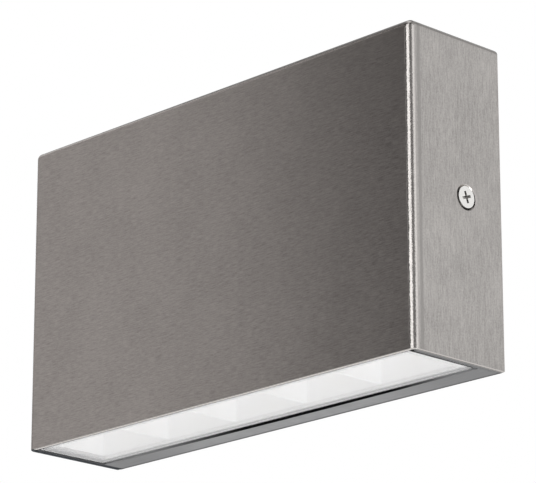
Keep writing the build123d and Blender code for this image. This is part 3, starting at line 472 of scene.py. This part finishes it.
def sheet_steel(name, colour, roughness):
    """Satin sheet with rolling lines along X and bright edges. Its strip below has a painted black shadow
    on its front edge.
    """
    made = Surface(name, Specular_IOR_Level=SHEET_SPECULAR)
    graph, place, normal = made.graph, made.place, made.normal
    lines = graph.streaks(place, "X", ROLL_LENGTH, ROLL_WIDTH)
    spangle = graph.noise(place, 1 / SPANGLE_SIZE, detail=1.0)
    tone = graph.fade(graph.numbers(SPANGLE_SHARE, lines, spangle), *NOISE_SPAN)
    plain = graph.shades(tone, colour, -ROLL_CONTRAST, ROLL_CONTRAST)
    rolled = graph.colours(made.worn_edges(EDGE_WEAR), plain, shade(colour, SHEET_WORN))
    # Painted highlight and shade on the strip, and the mask of its painted black shadow
    strip, gap_shadow = wall_strip(graph, place, normal, rolled, colour)
    # Dark painted shadow on the edges below on the left
    left_shadow = left_edge_shadow(graph, place, normal)
    left_shadowed = graph.colours(left_shadow, strip, LEFT_SHADOW_COLOUR)
    bare = graph.math("SUBTRACT", 1.0, graph.math("MAXIMUM", left_shadow, gap_shadow))
    made.set(Base_Color=graph.colours(gap_shadow, left_shadowed, GAP_SHADOW), Metallic=bare)
    satin = graph.fade(lines, *ROLL_SPAN, roughness - ROLL_SPREAD, roughness + ROLL_SPREAD)
    made.set(Roughness=graph.numbers(bare, MATT, satin))
    made.set(Normal=graph.bump(lines, ROLL_DEPTH, FIRM_RELIEF))
    return made.material


def plated(name, colour, roughness, recess_shade=0.8):
    """Small plated or turned metal pieces with a faint mottle, bright edges and painted shade in their
    recesses.
    """
    made = Surface(name, Metallic=1.0)
    graph = made.graph
    mottle = graph.noise(made.place, PLATED_GRAIN, detail=3.0)
    skin = graph.shades(mottle, colour, *PLATED_SHADES)
    worn = graph.colours(made.worn_edges(SMALL_EDGE_WEAR), skin, shade(colour, PLATED_WORN))
    # Painted shade deep in recesses
    made.set(Base_Color=graph.colours(made.recesses(RECESS_DEPTH), worn, shade(colour, -recess_shade)))
    made.finish(mottle, roughness, PLATED_SPREAD, PLATED_DEPTH, FAINT_RELIEF)
    return made.material


def cast_metal(name, colour, roughness):
    """Cast metal with a slightly uneven skin, bright edges and painted shade in its corners."""
    made = Surface(name, Metallic=CAST_METALLIC)
    graph = made.graph
    skin = graph.noise(made.place, CAST_GRAIN, detail=4.0)
    cast = graph.shades(skin, colour, *CAST_SHADES)
    worn = graph.colours(made.worn_edges(EDGE_WEAR), cast, shade(colour, CAST_WORN))
    # Painted shade in the corners
    made.set(Base_Color=graph.colours(made.recesses(CAST_RECESS_DEPTH), worn, shade(colour, CAST_CORNER_SHADE)))
    made.finish(skin, roughness, CAST_SPREAD, CAST_DEPTH, FIRM_RELIEF)
    return made.material


def moulded(name, colour, roughness, grain=0.6 * MM, glow_and_painted_light=0.0):
    """Moulded plastic or rubber with a fine texture, and a soft glow. On the reflector that glow is
    painted light.
    """
    made = Surface(name, Specular_IOR_Level=MOULDED_SPECULAR, Emission_Strength=glow_and_painted_light)
    graph = made.graph
    texture = graph.noise(made.place, 1 / grain, detail=3.0)
    drift = graph.noise(made.place, DRIFT_GRAIN)
    made.set(Base_Color=graph.shades(drift, colour, *MOULDED_SHADES), Emission_Color=(*colour, 1.0))
    made.finish(texture, roughness, MOULDED_SPREAD, MOULDED_DEPTH, FAINT_RELIEF)
    return made.material


def window_seal(name, inside, shaded_grey, roughness):
    """Soft seal, pale beside the window, with painted shade towards its rear edge and its ends."""
    made = Surface(name, Specular_IOR_Level=MOULDED_SPECULAR)
    graph = made.graph
    low, high = (Vector(corner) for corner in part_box("window_gasket"))
    sideways, ahead, _ = graph.parts(made.place)
    left_scale, right_scale = SEAL_END_SCALES
    from_left = graph.math("MULTIPLY", graph.math("SUBTRACT", sideways, low.x), left_scale)
    from_right = graph.math("MULTIPLY", graph.math("SUBTRACT", high.x, sideways), right_scale)
    from_end = graph.math("MINIMUM", from_left, from_right)
    from_rear = graph.math("SUBTRACT", high.y, ahead)
    nearest = graph.math("MINIMUM", from_end, from_rear)
    grain = graph.noise(made.place, SEAL_GRAIN, detail=3.0)
    wavy = graph.math("ADD", nearest, graph.fade(grain, *NOISE_SPAN, *SEAL_WAVER))
    # Painted shade towards the rear edge and the ends
    made.set(Base_Color=graph.colours(graph.fade(wavy, *SEAL_SHADE_FADE), (*shaded_grey, 1.0), (*inside, 1.0)))
    made.finish(grain, roughness, MOULDED_SPREAD, MOULDED_DEPTH, FAINT_RELIEF)
    return made.material


def clear(name, colour, ior, ground=False):
    """Clear pane or lens with a faint film of dust. Light from the lamps goes straight through it."""
    made = Surface(name, Transmission_Weight=1.0, IOR=ior)
    graph = made.graph
    film = graph.noise(made.place, FILM_GRAIN, detail=4.0)
    pane = graph.shades(film, colour, *FILM_SHADES)
    polish = graph.fade(film, *FILM_SPAN, *FILM_ROUGHNESS)
    if ground:
        sideways, ahead, _ = graph.parts(graph.vector("ABSOLUTE", made.normal))
        # Painted shade on the pane's ends
        pane = graph.colours(graph.fade(sideways, *GLASS_NORMAL), pane, GLASS_END_SHADE)
        edge = graph.fade(ahead, *GLASS_NORMAL)
        made.set(Transmission_Weight=graph.fade(edge, 0.0, 1.0, 1.0, GROUND_TRANSMISSION))
        polish = graph.numbers(edge, polish, GROUND_ROUGHNESS)
    made.set(Base_Color=pane, Roughness=polish)
    path = graph.add("ShaderNodeLightPath", {})
    through = graph.add("ShaderNodeBsdfTransparent", {"Color": (*colour, 1.0)})
    shaders = {1: made.shader.outputs[0], 2: through.outputs[0]}
    mixed = graph.add("ShaderNodeMixShader", {0: path.outputs["Is Shadow Ray"], **shaders})
    graph.feed(made.output.inputs["Surface"], mixed.outputs[0])
    return made.material


def insulation(name, colour, stripe=None):
    """Wire insulation, with a second colour along one side if it has a stripe."""
    made = Surface(name, Specular_IOR_Level=WIRE_SPECULAR)
    graph = made.graph
    scuff = graph.noise(made.place, WIRE_GRAIN, detail=3.0)
    skin = graph.shades(scuff, colour, *WIRE_SHADES)
    if stripe:
        side = graph.parts(made.normal)[0]
        skin = graph.colours(graph.fade(side, *STRIPE_NORMAL), skin, (*stripe, 1.0))
    made.set(Base_Color=skin, Roughness=graph.fade(scuff, *NOISE_SPAN, *WIRE_ROUGHNESS))
    return made.material


# Each material slot of the record: how it is made, and its looks
RECIPES = {
    "cover_steel": (cover_steel, dict(colour=(0.391, 0.373, 0.359))),
    "plate_steel": (sheet_steel, dict(colour=(0.292, 0.294, 0.301), roughness=0.45)),
    "screw_steel": (plated, dict(colour=(0.82, 0.81, 0.79), roughness=0.24, recess_shade=0.5)),
    "zinc": (plated, dict(colour=(0.62, 0.63, 0.65), roughness=0.34)),
    "clear_glass": (clear, dict(colour=(0.985, 0.985, 0.987), ior=1.5, ground=True)),
    "grey_seal": (
        window_seal,
        dict(inside=(0.84, 0.84, 0.84), shaded_grey=(0.235, 0.235, 0.24), roughness=0.55),
    ),
    "black_rubber": (moulded, dict(colour=(0.03, 0.03, 0.03), roughness=0.6)),
    # Its glow is painted light for the light in its cells
    "white_reflector": (moulded, dict(colour=(0.9, 0.9, 0.905), roughness=0.35, glow_and_painted_light=0.135)),
    "cast_aluminium": (cast_metal, dict(colour=(0.66, 0.67, 0.68), roughness=0.42)),
    "white_board": (moulded, dict(colour=(0.88, 0.88, 0.86), roughness=0.4)),
    "grey_pad": (moulded, dict(colour=(0.42, 0.46, 0.5), roughness=0.75)),
    "led_yellow": (moulded, dict(colour=(0.9, 0.75, 0.25), roughness=0.45, glow_and_painted_light=0.5)),
    "clear_dome": (clear, dict(colour=(0.97, 0.97, 0.95), ior=1.42)),
    "driver_white": (moulded, dict(colour=(0.8, 0.8, 0.78), roughness=0.5, grain=1.0 * MM)),
    "terminal_white": (moulded, dict(colour=(0.84, 0.83, 0.77), roughness=0.42)),
    "brass": (plated, dict(colour=(0.76, 0.58, 0.27), roughness=0.3)),
    "tinned": (plated, dict(colour=(0.72, 0.71, 0.68), roughness=0.32)),
    "brown_wire": (insulation, dict(colour=(0.16, 0.07, 0.035))),
    "blue_wire": (insulation, dict(colour=(0.03, 0.12, 0.42))),
    "earth_wire": (insulation, dict(colour=(0.06, 0.3, 0.05), stripe=(0.75, 0.62, 0.04))),
    "red_wire": (insulation, dict(colour=(0.5, 0.025, 0.02))),
    "black_wire": (insulation, dict(colour=(0.025, 0.025, 0.025))),
}


def dress_nodes():
    """Each CAD node gets the material of its slot in the record."""
    materials = {slot: make(slot, **looks) for slot, (make, looks) in RECIPES.items()}
    for part in frame["record"]["subparts"]:
        mesh = frame["nodes"][part["node"]].data
        mesh.materials.clear()
        mesh.materials.append(materials[part["material_slot"]])


def towards(azimuth, elevation):
    """Direction from the light to a place in the studio."""
    turn, lift = radians(azimuth), radians(elevation)
    return Vector((sin(turn) * cos(lift), -cos(turn) * cos(lift), sin(lift)))


def softbox(name, azimuth, elevation, distance, width, height, radiance, roll=0, tint=WHITE[:3]):
    """A rectangular soft lamp that faces the light, turned about its own axis by its roll."""
    lamp = bpy.data.lights.new(name, "AREA")
    lamp.color = tint
    lamp.shape = "RECTANGLE"
    lamp.size = width
    lamp.size_y = height
    lamp.energy = LAMP_POWER * radiance * width * height
    made = bpy.data.objects.new(name, lamp)
    made.location = towards(azimuth, elevation) * distance
    turn = Quaternion((0, 0, 1), radians(roll))
    made.rotation_euler = ((-made.location).to_track_quat("-Z", "Y") @ turn).to_euler()
    made.visible_camera = False
    bpy.context.scene.collection.objects.link(made)


def make_world():
    """White behind the light, for the camera and in glass, and a dim room in front of it."""
    world = bpy.data.worlds.new("studio")
    bpy.context.scene.world = world
    world.use_nodes = True
    graph = Graph(world.node_tree)
    direction = graph.add("ShaderNodeTexCoord", {}).outputs["Generated"]
    facing = graph.measure("DOT_PRODUCT", direction, towards(WHITE_AZIMUTH, 0))
    path = graph.add("ShaderNodeLightPath", {}).outputs
    seen = graph.math("MAXIMUM", path["Is Camera Ray"], path["Is Transmission Ray"])
    low = graph.fade(graph.parts(direction)[2], *WHITE_TOP, 1.0, WHITE_ABOVE)
    behind = graph.both(low, graph.fade(facing, *WHITE_EDGE))
    colour = graph.colours(graph.math("MAXIMUM", seen, behind), ROOM_COLOUR, WHITE)
    light = graph.add("ShaderNodeBackground", {"Color": colour, "Strength": 1.0})
    graph.add("ShaderNodeOutputWorld", {"Surface": light.outputs[0]})


def make_floor():
    """A plain pale floor, as far below as under a light on a wall. It shows as white as the backdrop."""
    mesh = bpy.data.meshes.new("floor")
    turns = [2 * pi * corner / FLOOR_SIDES for corner in range(FLOOR_SIDES)]
    rim = [(FLOOR_RADIUS * cos(turn), FLOOR_RADIUS * sin(turn), -FLOOR_DROP) for turn in turns]
    mesh.from_pydata(rim, [], [range(FLOOR_SIDES)])
    floor = bpy.data.objects.new("floor", mesh)
    bpy.context.scene.collection.objects.link(floor)
    paint = Surface("floor_paint", Roughness=FLOOR_ROUGHNESS, Emission_Color=WHITE)
    graph = paint.graph
    speckle = graph.noise(paint.place, FLOOR_GRAIN, detail=3.0)
    paint.set(Base_Color=graph.colours(speckle, *FLOOR_COLOURS))
    path = graph.add("ShaderNodeLightPath", {}).outputs
    direct = graph.math("MAXIMUM", path["Is Camera Ray"], path["Is Glossy Ray"])
    seen = graph.math("MAXIMUM", direct, path["Is Transmission Ray"])
    paint.set(Emission_Strength=graph.math("MULTIPLY", seen, FLOOR_LIFT))
    mesh.materials.append(paint.material)


def make_camera():
    """The camera of the photograph, without shift."""
    data = bpy.data.cameras.new("camera")
    data.sensor_width = SENSOR_WIDTH
    data.lens = FOCAL_PIXELS * SENSOR_WIDTH / IMAGE_WIDTH
    camera = bpy.data.objects.new("camera", data)
    level = cos(CAMERA_PITCH)
    forward = Vector((sin(CAMERA_YAW) * level, cos(CAMERA_YAW) * level, sin(CAMERA_PITCH)))
    camera.location = CAMERA_PLACE
    camera.rotation_euler = forward.to_track_quat("-Z", "Y").to_euler()
    bpy.context.scene.collection.objects.link(camera)
    bpy.context.scene.camera = camera


dress_nodes()
make_world()
make_floor()
make_camera()
for lamp_name, settings in LAMPS.items():
    softbox(lamp_name, **settings)
bpy.context.scene.view_settings.view_transform = "Standard"
